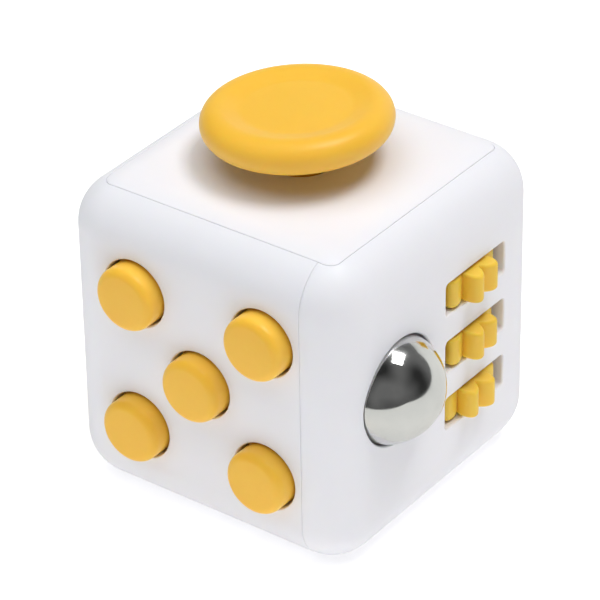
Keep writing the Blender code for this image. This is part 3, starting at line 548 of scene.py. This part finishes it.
def plain_steel(name):
    """Zinc-bright steel of the small hardware: fine turning marks and dull patches."""
    nodes = Nodes(name)
    patch = nodes.noise(STEEL_PATCHES, 5.0, 0.6)
    tone = nodes.mixed(nodes.ranged(patch, 0.0, 1.0), (0.60, 0.61, 0.63), (0.42, 0.42, 0.43))
    tone = nodes.mixed(nodes.edges(STEEL_WEAR), tone, (0.78, 0.78, 0.78))
    nodes.link(tone, nodes.shader.inputs["Base Color"])
    nodes.link(nodes.ranged(patch, 0.22, 0.42), nodes.shader.inputs["Roughness"])
    nodes.link(nodes.bump(nodes.noise(TURNING_MARKS, 2.0), 0.15), nodes.shader.inputs["Normal"])
    nodes.set(Metallic=1.0)
    return nodes.material


def soft_silicone(name):
    """Grey translucent silicone with a dusty sheen."""
    nodes = Nodes(name)
    cloud = nodes.noise(SILICONE_CLOUD, 4.0)
    tone = nodes.mixed(nodes.ranged(cloud, 0.0, 1.0), (0.72, 0.73, 0.75), (0.62, 0.64, 0.67))
    nodes.link(tone, nodes.shader.inputs["Base Color"])
    nodes.link(nodes.ranged(cloud, 0.5, 0.68), nodes.shader.inputs["Roughness"])
    nodes.link(nodes.bump(nodes.noise(SILICONE_GRAIN), 0.12), nodes.shader.inputs["Normal"])
    nodes.set(Subsurface_Weight=0.3, Subsurface_Scale=0.8 * MM, Sheen_Weight=0.15)
    return nodes.material


white = moulded_plastic("white_moulding", (0.872, 0.866, 0.905), (0.857, 0.851, 0.89),
                        (0.90, 0.90, 0.92), 0.42, PLASTIC_GRAIN, 0.12, 0.06)
orange = moulded_plastic("orange_moulding", (0.95, 0.555, 0.062), (0.92, 0.525, 0.053),
                         (0.95, 0.58, 0.10), 0.36, PLASTIC_GRAIN, 0.12, 0.30)
lemon = moulded_plastic("lemon_moulding", (0.88, 0.58, 0.065), (0.85, 0.55, 0.056),
                        (0.92, 0.64, 0.12), 0.38, PLASTIC_GRAIN, 0.12, 0.35)
inner = moulded_plastic("inner_moulding", (0.62, 0.63, 0.65), (0.57, 0.58, 0.60),
                        (0.70, 0.71, 0.73), 0.55, INNER_GRAIN, 0.25, 0.05)
mirror = polished_ball("mirror_steel")
steel = plain_steel("hardware_steel")
silicone = soft_silicone("dome_silicone")


# ---------------------------------------------------------------- cutters

def lipped_hole(radius, turn, spot, depth=2 * WALL):
    """A round cutter whose mouth at the face flares into a rounded lip."""
    lip = arc(LIP, 90, 180, FILLET_STEPS, (radius + LIP, LIP_RISE - LIP))
    profile = [(0.0, OVERSIZE), (radius + LIP, OVERSIZE)] + lip
    profile += [(radius, -depth), (0.0, -depth)]
    return turned(profile, HOLE_STEPS, facing(turn, spot))


def lipped_slot(half_x, half_y, corner, turn, spot):
    """A round-cornered cutter whose mouth at the face flares into a rounded lip."""
    lip = arc(LIP, 180, 90, FILLET_STEPS, (LIP, LIP_RISE - LIP))
    levels = [(0.0, -2 * WALL)] + lip + [(LIP, OVERSIZE)]
    return stacked(levels, plate_outline(half_x, half_y, corner), facing(turn, spot))


def post(radius, start, end, turn, spot, steps=POST_STEPS):
    """A plain round bar, for cutting with."""
    return turned([(0.0, end), (radius, end), (radius, start), (0.0, start)], steps,
                  facing(turn, spot))


# ---------------------------------------------------------------- housing

def make_shell(name, turn):
    """One L-shaped side shell: wall, cavity, panel window and seam edges."""
    shell = add_piece(name, rounded_cube())
    reach = HALF + OVERSIZE
    seam = SEAM_GAP / 2
    outline = [
        (-reach, -reach), (SEAM_X - seam, -reach), (SEAM_X - seam, 0.0),
        (-SEAM_X - seam, 0.0), (-SEAM_X - seam, reach), (-reach, reach),
    ]
    region = stacked([(0.0, -reach), (0.0, reach)], lambda growth: outline,
                     Matrix.Rotation(turn, 4, "Z"))
    combine(shell, region, "INTERSECT")
    cavity = stacked([(0.0, -CAVITY), (0.0, CAVITY)],
                     plate_outline(CAVITY, CAVITY, EDGE_RADIUS - WALL))
    combine(shell, cavity)
    opening = PANEL_HALF + PANEL_SEAM
    window = stacked([(0.0, -reach), (0.0, reach)],
                     plate_outline(opening, opening, PANEL_CORNER + PANEL_SEAM))
    combine(shell, window)
    return shell


def make_panel(name, side):
    """A square panel with its flange; side is 1 for the top and -1 for the bottom."""
    panel = add_piece(name, rounded_cube())
    foot, top = CAVITY - GAP, HALF + OVERSIZE
    flip = Matrix.Identity(4) if side > 0 else Matrix.Rotation(math.pi, 4, "X")
    region = stacked([(0.0, foot), (0.0, top)],
                     plate_outline(PANEL_HALF, PANEL_HALF, PANEL_CORNER), flip)
    combine(panel, region, "INTERSECT")
    flange = stacked([(0.0, HALF - PANEL_DEPTH), (0.0, foot + MERGE)],
                     plate_outline(FLANGE_HALF, FLANGE_HALF, FLANGE_CORNER), flip)
    combine(panel, flange, "UNION")
    return panel


front_shell = make_shell("front_shell_moulding", 0.0)
rear_shell = make_shell("rear_shell_moulding", math.pi)
top_panel = make_panel("top_panel_moulding", 1)
bottom_panel = make_panel("bottom_panel_moulding", -1)


# ---------------------------------------------------------------- front: buttons

def make_button(name):
    """A push button with a soft shoulder, a faint crown and a flange behind the face."""
    spot = middle("button_" + name)
    spot.y = -HALF
    near, far = BUTTON_FLANGE_DEPTH
    rim = BUTTON_RADIUS - BUTTON_ROUND
    crown = [(rim * i / CROWN_STEPS, BUTTON_HEIGHT - BUTTON_CROWN * (i / CROWN_STEPS) ** 2)
             for i in range(CROWN_STEPS)]
    shoulder = arc(BUTTON_ROUND, SHOULDER_START, 0, SHOULDER_STEPS,
                   (rim, BUTTON_HEIGHT - BUTTON_CROWN - BUTTON_ROUND))
    skirt = filleted([(BUTTON_RADIUS, 0.0, 0.0), (BUTTON_RADIUS, -near, FINE),
                      (BUTTON_FLANGE, -near, SMALL), (BUTTON_FLANGE, -far, SMALL),
                      (0.0, -far, 0.0)])
    button = add_piece("button_" + name + "_moulding",
                       turned(crown + shoulder + skirt, TURN_STEPS, facing(FRONT, spot)))
    finish_piece(button, "button_" + name, "orange_plastic", orange, "button_" + name)
    combine(front_shell, lipped_hole(BUTTON_HOLE, FRONT, spot))


def make_dome(name):
    """The silicone dome under a button."""
    low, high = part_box("dome_" + name)
    spot = middle("dome_" + name)
    spot.y = high.y
    top = high.y - low.y
    profile = filleted([
        (0.0, top, 0.0), (DOME_TOP, top, DOME_SHOULDER),
        (DOME_FOOT - DOME_SKIN, DOME_SKIN, DOME_HEEL), (DOME_FOOT, DOME_SKIN, DOME_BRIM),
        (DOME_FOOT, 0.0, DOME_SOLE), (DOME_FOOT - 2 * DOME_SKIN, 0.0, DOME_SOLE),
        (DOME_TOP - DOME_SKIN / 2, top - DOME_SKIN, SOFT), (0.0, top - DOME_SKIN, 0.0),
    ])
    dome = add_piece("dome_" + name + "_silicone",
                     turned(profile, SMALL_TURN_STEPS, facing(FRONT, spot)))
    finish_piece(dome, "housing", "silicone", silicone, "dome_" + name)
    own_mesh(dome)


for button_name in BUTTONS:
    make_button(button_name)
    make_dome(button_name)


# ---------------------------------------------------------------- right: ball and gears

def make_ball():
    """The steel ball, as an even ball of square patches, and its socket in the wall."""
    spot = middle("steel_ball")
    shape = bmesh.new()
    bmesh.ops.create_cube(shape, size=1.0)
    bmesh.ops.subdivide_edges(shape, edges=shape.edges[:], cuts=BALL_CUTS, use_grid_fill=True)
    for vert in shape.verts:
        square = vert.co * 2
        x, y, z = (v * v for v in square)
        vert.co = Vector((
            square.x * math.sqrt(max(0.0, 1 - y / 2 - z / 2 + y * z / 3)),
            square.y * math.sqrt(max(0.0, 1 - z / 2 - x / 2 + z * x / 3)),
            square.z * math.sqrt(max(0.0, 1 - x / 2 - y / 2 + x * y / 3)),
        )).normalized() * BALL_RADIUS
    shape.transform(Matrix.Translation(spot))
    ball = add_piece("polished_ball", shape)
    finish_piece(ball, "ball", "polished_steel", mirror, "steel_ball")
    face = HALF - spot.x
    mouth = face - LIP + LIP_RISE
    wide = math.sqrt(BALL_SOCKET ** 2 - mouth ** 2)
    start = math.degrees(math.asin(mouth / BALL_SOCKET))
    lip = arc(LIP, 90, 180, FILLET_STEPS, (wide + LIP, mouth))
    profile = [(0.0, OVERSIZE), (wide + LIP, OVERSIZE)] + lip
    profile += arc(BALL_SOCKET, start, 0.0, SOCKET_STEPS)[1:]
    profile += [(BALL_SOCKET, -2 * WALL), (0.0, -2 * WALL)]
    combine(rear_shell, turned(profile, HOLE_STEPS, facing(RIGHT, spot)))


def make_ball_spring():
    """The spring behind the ball's seat, a copy of its CAD mesh."""
    spring = bpy.data.objects.new("ball_spring_wire", frame["nodes"]["ball_spring"].data.copy())
    bpy.context.scene.collection.objects.link(spring)
    spring.data.transform(Matrix.Translation(-CENTRE))
    finish_piece(spring, "housing", "steel", steel, "ball_spring")
    foot = middle("ball_spring") + CENTRE
    foot.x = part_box("ball_spring")[0].x
    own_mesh(spring)


def gear_outline(phase):
    """An outline function for stacked(): broad rounded teeth with narrow valleys between."""
    def outline(growth):
        count = GEAR_TEETH * STEPS_PER_TOOTH
        points = []
        for i in range(count):
            angle = 2 * math.pi * i / count
            lobe = abs(math.cos(GEAR_TEETH * angle / 2))
            radius = GEAR_ROOT + (GEAR_TIP - GEAR_ROOT) * lobe + growth
            points.append((radius * math.cos(angle + phase), radius * math.sin(angle + phase)))
        return points
    return outline


def make_gear(name):
    """A thumb gear with rounded tooth edges and its bore, and its slot in the wall."""
    spot = middle("gear_" + name)
    joint = next(j for j in frame["joints"] if j["name"] == "gear_spin_" + name)
    axle = Vector(joint["pos_m"]) - CENTRE
    top = GEAR_THICK / 2
    upper = [(GEAR_ROUND * (math.cos(math.radians(a)) - 1),
              top - GEAR_ROUND * (1 - math.sin(math.radians(a))))
             for a in range(0, 91, GEAR_ROUND_STEP)]
    lower = [(growth, -z) for growth, z in reversed(upper)]
    gear = add_piece("gear_" + name + "_moulding",
                     stacked(lower + upper, gear_outline(GEAR_PHASES[name]),
                             Matrix.Translation(axle)))
    combine(gear, post(GEAR_BORE, -2 * GEAR_THICK, 2 * GEAR_THICK, UP, axle))
    finish_piece(gear, "gear_" + name, "orange_plastic", lemon, "gear_" + name)
    slot_centre = (HALF, (SLOT_Y[0] + SLOT_Y[1]) / 2, spot.z)
    combine(rear_shell, lipped_slot(SLOT_HEIGHT / 2, (SLOT_Y[1] - SLOT_Y[0]) / 2, SLOT_CORNER,
                                    RIGHT, slot_centre))


make_ball()
make_ball_spring()
for gear_name in GEAR_PHASES:
    make_gear(gear_name)


# ---------------------------------------------------------------- top: joystick

def make_joystick():
    """The dished cap and its stem, and the hole and pocket in the top panel."""
    top = CAP_MIDDLE + CAP_HALF
    under = CAP_MIDDLE - CAP_HALF
    bore = STEM_RADIUS + GAP
    dish = filleted([(0.0, top - CAP_DISH_DEPTH, 0.0),
                     (CAP_DISH_RADIUS, top - CAP_DISH_DEPTH, CAP_DISH_ROUND),
                     (CAP_CREST_RADIUS, top - CAP_CREST_DROP, CAP_CREST_ROUND),
                     (CAP_RADIUS - CAP_HALF, top, 0.0)])
    rim = arc(CAP_HALF, 90, -90, CAP_RIM_STEPS, (CAP_RADIUS - CAP_HALF, CAP_MIDDLE))
    below = filleted([(CAP_FLAT_BELOW, under, 0.0), (bore, under, CAP_BORE_ROUND),
                      (bore, under + CAP_BORE_DEPTH, 0.0), (0.0, under + CAP_BORE_DEPTH, 0.0)])
    pivot = Matrix.Translation((0.0, 0.0, JOYSTICK_PIVOT))
    lean = pivot @ Matrix.Rotation(-JOYSTICK_LEAN, 4, "Y") @ pivot.inverted()
    cap = add_piece("joystick_cap_moulding", turned(dish[:-1] + rim + below, TURN_STEPS, lean))
    finish_piece(cap, "joystick", "orange_plastic", orange, "joystick_cap")
    head = under + CAP_BORE_DEPTH - GAP
    profile = filleted([(0.0, head, 0.0), (STEM_RADIUS, head, FINE),
                        (STEM_RADIUS, STEM_BASE, SOFT), (SPIGOT_RADIUS, STEM_BASE, SOFT),
                        (SPIGOT_TIP, SPIGOT_BASE, SOFT), (0.0, SPIGOT_BASE, 0.0)])
    stem = add_piece("joystick_stem_moulding", turned(profile, SMALL_TURN_STEPS, lean))
    combine(stem, post(STEM_PIN_HOLE, -HALF, HALF, REAR, (0.0, 0.0, JOYSTICK_PIVOT)))
    finish_piece(stem, "joystick", "orange_plastic", orange, "joystick_stem")
    combine(top_panel, lipped_hole(JOYSTICK_HOLE, UP, (0.0, 0.0, HALF), HALF))
    combine(top_panel, post(SOCKET_POCKET_RADIUS, 0.0, CAVITY, UP, (0.0, 0.0, 0.0), HOLE_STEPS))


make_joystick()


# ---------------------------------------------------------------- rear: rocker

def make_rocker():
    """The rocker switch with softly hollowed halves, and its opening in the wall."""
    rise = ROCKER_END - ROCKER_MIDDLE
    half = []
    for i in range(ROCKER_SIDE_STEPS + 1):
        along = i / ROCKER_SIDE_STEPS
        half.append((along * (ROCKER_HALF_Z - ROCKER_ROUND),
                     ROCKER_MIDDLE + rise * along ** ROCKER_HOLLOW))
    end = half[-1]
    edge = arc(ROCKER_ROUND, 80, 0, ROCKER_EDGE_STEPS, (end[0], end[1] - ROCKER_ROUND))
    hub = arc(ROCKER_HUB, -20, -90, ROCKER_HUB_STEPS)
    side = half + edge + [(ROCKER_HALF_Z, ROCKER_UNDERSIDE + ROCKER_CHAMFER),
                          (ROCKER_HALF_Z - ROCKER_CHAMFER, ROCKER_UNDERSIDE)] + hub
    outline = side + [(-x, y) for x, y in reversed(side[1:-1])]
    lip = [(ROCKER_HALF_X - ROCKER_FLANK * (1 - math.sin(math.radians(a))),
            1 - ROCKER_FLANK * (1 - math.cos(math.radians(a))) / ROCKER_FLANK_FALL)
           for a in range(0, 91, ROCKER_FLANK_STEP)]
    levels = [(scale, -x) for x, scale in reversed(lip)] + [(scale, x) for x, scale in lip]

    def scaled(scale):
        return [(x * scale, y * scale) for x, y in outline]

    stand_up = Matrix(((0, 0, 1), (0, 1, 0), (-1, 0, 0))).to_4x4()
    place = Matrix.Translation((0.0, ROCKER_PIVOT_Y, 0.0))
    tilt = Matrix.Rotation(-ROCKER_TILT, 4, "X")
    rocker = add_piece("rocker_moulding", stacked(levels, scaled, place @ tilt @ stand_up))
    combine(rocker, post(ROCKER_PIN_HOLE, -HALF, HALF, RIGHT, (0.0, ROCKER_PIVOT_Y, 0.0)))
    finish_piece(rocker, "rocker", "orange_plastic", orange, "rocker")
    half_x, half_z = ROCKER_OPENING
    combine(rear_shell, lipped_slot(half_x, half_z, ROCKER_OPENING_CORNER, REAR, (0.0, HALF, 0.0)))


make_rocker()


# ---------------------------------------------------------------- left: dial

def make_dial():
    """The spin dial with a shallow ring groove and its thumb knob, and its hole in the wall."""
    near, far = DIAL_FLANGE_DEPTH
    floor = DIAL_PROUD - GROOVE_DEPTH
    profile = filleted([
        (0.0, DIAL_PROUD, 0.0),
        (DIAL_RADIUS - GROOVE_INNER[0], DIAL_PROUD, FINE),
        (DIAL_RADIUS - GROOVE_INNER[1], floor, FINE),
        (DIAL_RADIUS - GROOVE_OUTER[0], floor, FINE),
        (DIAL_RADIUS - GROOVE_OUTER[1], DIAL_PROUD, FINE),
        (DIAL_RADIUS, DIAL_PROUD, DIAL_ROUND), (DIAL_RADIUS, -near, FINE),
        (DIAL_FLANGE, -near, SMALL), (DIAL_FLANGE, -far, SMALL),
        (DIAL_HUB, -far, SOFT), (DIAL_HUB, -DIAL_HUB_END, SOFT),
        (DIAL_BORE, -DIAL_HUB_END, FINE), (DIAL_BORE, -DIAL_BORE_END, 0.0),
        (0.0, -DIAL_BORE_END, 0.0),
    ])
    dial = add_piece("dial_moulding", turned(profile, TURN_STEPS, facing(LEFT, (-HALF, 0, 0))))
    inside, crest = (KNOB_RADIUS * share for share in KNOB_CUP_SHARES)
    knob = filleted([
        (0.0, KNOB_HEIGHT - KNOB_CUP, 0.0),
        (inside, KNOB_HEIGHT - KNOB_CUP, KNOB_CUP_ROUNDS[0]),
        (crest, KNOB_HEIGHT, KNOB_CUP_ROUNDS[1]), (KNOB_RADIUS, KNOB_HEIGHT, KNOB_ROUND),
        (KNOB_RADIUS, DIAL_PROUD, 0.0), (KNOB_RADIUS, 0.0, 0.0), (0.0, 0.0, 0.0),
    ])
    combine(dial, turned(knob, KNOB_STEPS, facing(LEFT, (-HALF, 0.0, KNOB_ORBIT))), "UNION")
    finish_piece(dial, "dial", "orange_plastic", orange, "dial")
    combine(front_shell, lipped_hole(DIAL_HOLE, LEFT, (-HALF, 0.0, 0.0)))


make_dial()


# ---------------------------------------------------------------- bottom: dimple

def cut_dimple():
    """The worry-stone dimple, a shallow bowl with a softened rim."""
    radius = (DIMPLE_RADIUS ** 2 + DIMPLE_DEPTH ** 2) / (2 * DIMPLE_DEPTH)
    spread = math.degrees(math.asin(DIMPLE_RADIUS / radius))
    bowl = arc(radius, 90, 90 - spread, DIMPLE_STEPS, (0.0, DIMPLE_DEPTH - radius))
    edge = DIMPLE_RADIUS + DIMPLE_RIM
    profile = bowl[:-1] + [(DIMPLE_RADIUS, DIMPLE_RIM_RISE), (edge, -DIMPLE_RIM_FALL),
                           (edge, -WALL), (0.0, -WALL)]
    combine(bottom_panel, turned(profile, TURN_STEPS, Matrix.Translation((0.0, 0.0, -HALF))))


cut_dimple()
for piece in (front_shell, rear_shell, top_panel, bottom_panel):
    soften(piece, SOFT_EDGE)
finish_piece(front_shell, "housing", "white_plastic", white, "front_shell")
finish_piece(rear_shell, "housing", "white_plastic", white, "rear_shell")
finish_piece(top_panel, "housing", "white_plastic", white, "top_panel")
finish_piece(bottom_panel, "housing", "white_plastic", white, "bottom_panel")


# ---------------------------------------------------------------- inner parts

FINISHES = {"white_plastic": white, "orange_plastic": orange, "inner_plastic": inner,
            "polished_steel": mirror, "steel": steel, "silicone": silicone}
slot_of = {part["node"]: part["material_slot"] for part in frame["record"]["subparts"]}
for node_name, node in frame["nodes"].items():
    node.data.materials.clear()
    node.data.materials.append(FINISHES[slot_of[node_name]])


# ---------------------------------------------------------------- stage, light, camera

STAGE_RADIUS = 0.50
STAGE_STEPS = 96
FLOOR_DROP = 0.02 * MM
COVE_RADIUS = 0.10
WALL_HEIGHT = 0.45
FLOOR_GLOW = 0.42
PAPER_X = (-0.40, 0.21)
PAPER_FRONT = -0.075
PAPER_BACK = 0.55
PAPER_RISE = 1.4
PAPER_BEND = 0.02
PAPER_LIFT = 0.05 * MM
SOFTBOX_POWER = 1.6
SOFTBOX_AWAY = (0.18, 0.11, 0.62)
SOFTBOX_SIZE = (0.27, 0.21)
FILLS = {
    "overhead": (1.98, (-0.02, -0.08, 1.0), 70.0, (1.0, 1.0, 1.0)),
    "front_fill": (0.26, (-0.75, -1.0, 0.60), 60.0, (0.84, 0.96, 1.0)),
}
ROOM_STRENGTH = 0.08
ROOM_SCALE = 0.9
ROOM_DETAIL = 0.5
ROOM_NOISE = (0.40, 0.62)
ROOM_TONES = (0.35, 1.9)
CAMERA_AZIMUTH = math.radians(36.8)
CAMERA_HEIGHT = math.radians(32.52)
CAMERA_ROLL = math.radians(-0.94)
CAMERA_DISTANCE = 353.7 * MM
CAMERA_LENS = 220.55
CAMERA_CLIP = (0.01, 10.0)
AIM_ASIDE = -0.37 * MM
AIM_ABOVE = 0.70 * MM


def make_paper(name, colour, glow):
    """A pale paper that glows a little, as a lit studio table does."""
    paper = Nodes(name)
    shade = tuple(part * 0.985 for part in colour)
    tone = paper.mixed(paper.ranged(paper.noise(30.0, 3.0), 0.0, 1.0), colour, shade)
    paper.link(tone, paper.shader.inputs["Base Color"])
    paper.set(Roughness=0.9, Specular_IOR_Level=0.1, Emission_Strength=glow,
              Emission_Color=(1.0, 1.0, 1.0, 1.0))
    return paper.material


def make_stage():
    """A pale floor with a wall all round, and the paper sweep that the steel ball shows.

    Only reflections see the sweep, and they don't see the floor or the wall, so the ball has
    the dim room above and in front of it that gives polished steel its contrast.  The floor
    lies just under the cube, clear of its bottom face.
    """
    paper = make_paper("floor_paper", (0.93, 0.93, 0.935), FLOOR_GLOW)
    shape = bmesh.new()
    bmesh.ops.create_circle(shape, cap_ends=True, segments=STAGE_STEPS, radius=STAGE_RADIUS)
    floor = add_piece("pale_floor", shape)
    floor.location.z = -FLOOR_DROP
    cove = arc(COVE_RADIUS, -90, 0, 10, (STAGE_RADIUS, COVE_RADIUS))
    wall = add_piece("pale_wall", spun(cove + [(cove[-1][0], WALL_HEIGHT)], STAGE_STEPS))
    for piece in (floor, wall):
        piece.data.materials.append(paper)
        piece.data.shade_smooth()
        piece.visible_glossy = False
    wall.visible_diffuse = False
    wall.visible_shadow = False

    shape = bmesh.new()
    bmesh.ops.create_grid(shape, x_segments=4, y_segments=40, size=1.0)
    for vert in shape.verts:
        left, right = PAPER_X
        vert.co.x = left + (right - left) * (vert.co.x + 1) / 2
        vert.co.y = PAPER_FRONT + (PAPER_BACK - PAPER_FRONT) * (vert.co.y + 1) / 2
        vert.co.z = PAPER_LIFT + PAPER_RISE * max(0.0, vert.co.y - PAPER_BEND) ** 2
    sweep = add_piece("paper_sweep", shape)
    sweep.data.materials.append(make_paper("sweep_paper", (0.74, 0.74, 0.715), 0.0))
    sweep.visible_camera = False
    sweep.visible_diffuse = False
    sweep.visible_shadow = False


def add_light(name, kind, energy, direction, **values):
    """A light that shines on the cube from a direction."""
    lamp = bpy.data.lights.new(name, kind)
    lamp.energy = energy
    for key, value in values.items():
        setattr(lamp, key, value)
    made = bpy.data.objects.new(name, lamp)
    bpy.context.scene.collection.objects.link(made)
    away = Vector(direction)
    made.location = CENTRE + away
    made.rotation_euler = away.to_track_quat("Z", "Y").to_euler()
    return made


def make_room():
    """A dim room, lighter in some directions than in others, all round the stage."""
    world = bpy.data.worlds.new("studio")
    bpy.context.scene.world = world
    world.use_nodes = True
    tree = world.node_tree
    background = tree.nodes["Background"]
    background.inputs["Strength"].default_value = ROOM_STRENGTH
    bearing = tree.nodes.new("ShaderNodeTexCoord")
    room = tree.nodes.new("ShaderNodeTexNoise")
    room.inputs["Scale"].default_value = ROOM_SCALE
    room.inputs["Detail"].default_value = ROOM_DETAIL
    tree.links.new(bearing.outputs["Generated"], room.inputs["Vector"])
    tones = tree.nodes.new("ShaderNodeMapRange")
    for socket, value in zip(("From Min", "From Max", "To Min", "To Max"),
                             ROOM_NOISE + ROOM_TONES):
        tones.inputs[socket].default_value = value
    tree.links.new(room.outputs["Fac"], tones.inputs["Value"])
    tree.links.new(tones.outputs["Result"], background.inputs["Color"])


def make_lights():
    """A softbox above that shows in the steel ball, broad soft fills that don't, and a room."""
    width, length = SOFTBOX_SIZE
    add_light("softbox", "AREA", SOFTBOX_POWER, SOFTBOX_AWAY, shape="RECTANGLE", size=width,
              size_y=length)
    for name, (energy, direction, spread, colour) in FILLS.items():
        sun = add_light(name, "SUN", energy, direction, angle=math.radians(spread), color=colour)
        sun.visible_glossy = False
    make_room()


def make_camera():
    """The camera, aimed a little off the cube's centre so that it needs no shift."""
    data = bpy.data.cameras.new("camera")
    data.lens = CAMERA_LENS
    data.clip_start, data.clip_end = CAMERA_CLIP
    camera = bpy.data.objects.new("camera", data)
    bpy.context.scene.collection.objects.link(camera)
    flat = math.cos(CAMERA_HEIGHT)
    back = Vector((math.sin(CAMERA_AZIMUTH) * flat, -math.cos(CAMERA_AZIMUTH) * flat,
                   math.sin(CAMERA_HEIGHT)))
    level = Vector((math.cos(CAMERA_AZIMUTH), math.sin(CAMERA_AZIMUTH), 0.0))
    upward = back.cross(level)
    right = level * math.cos(CAMERA_ROLL) + upward * math.sin(CAMERA_ROLL)
    up = upward * math.cos(CAMERA_ROLL) - level * math.sin(CAMERA_ROLL)
    place = CENTRE + back * CAMERA_DISTANCE
    target = CENTRE + right * AIM_ASIDE + up * AIM_ABOVE
    back = (place - target).normalized()
    right = up.cross(back).normalized()
    up = back.cross(right)
    camera.matrix_world = Matrix((
        (right.x, up.x, back.x, place.x), (right.y, up.y, back.y, place.y),
        (right.z, up.z, back.z, place.z), (0.0, 0.0, 0.0, 1.0)))
    bpy.context.scene.camera = camera


make_stage()
make_lights()
make_camera()
bpy.context.scene.view_settings.view_transform = "Standard"
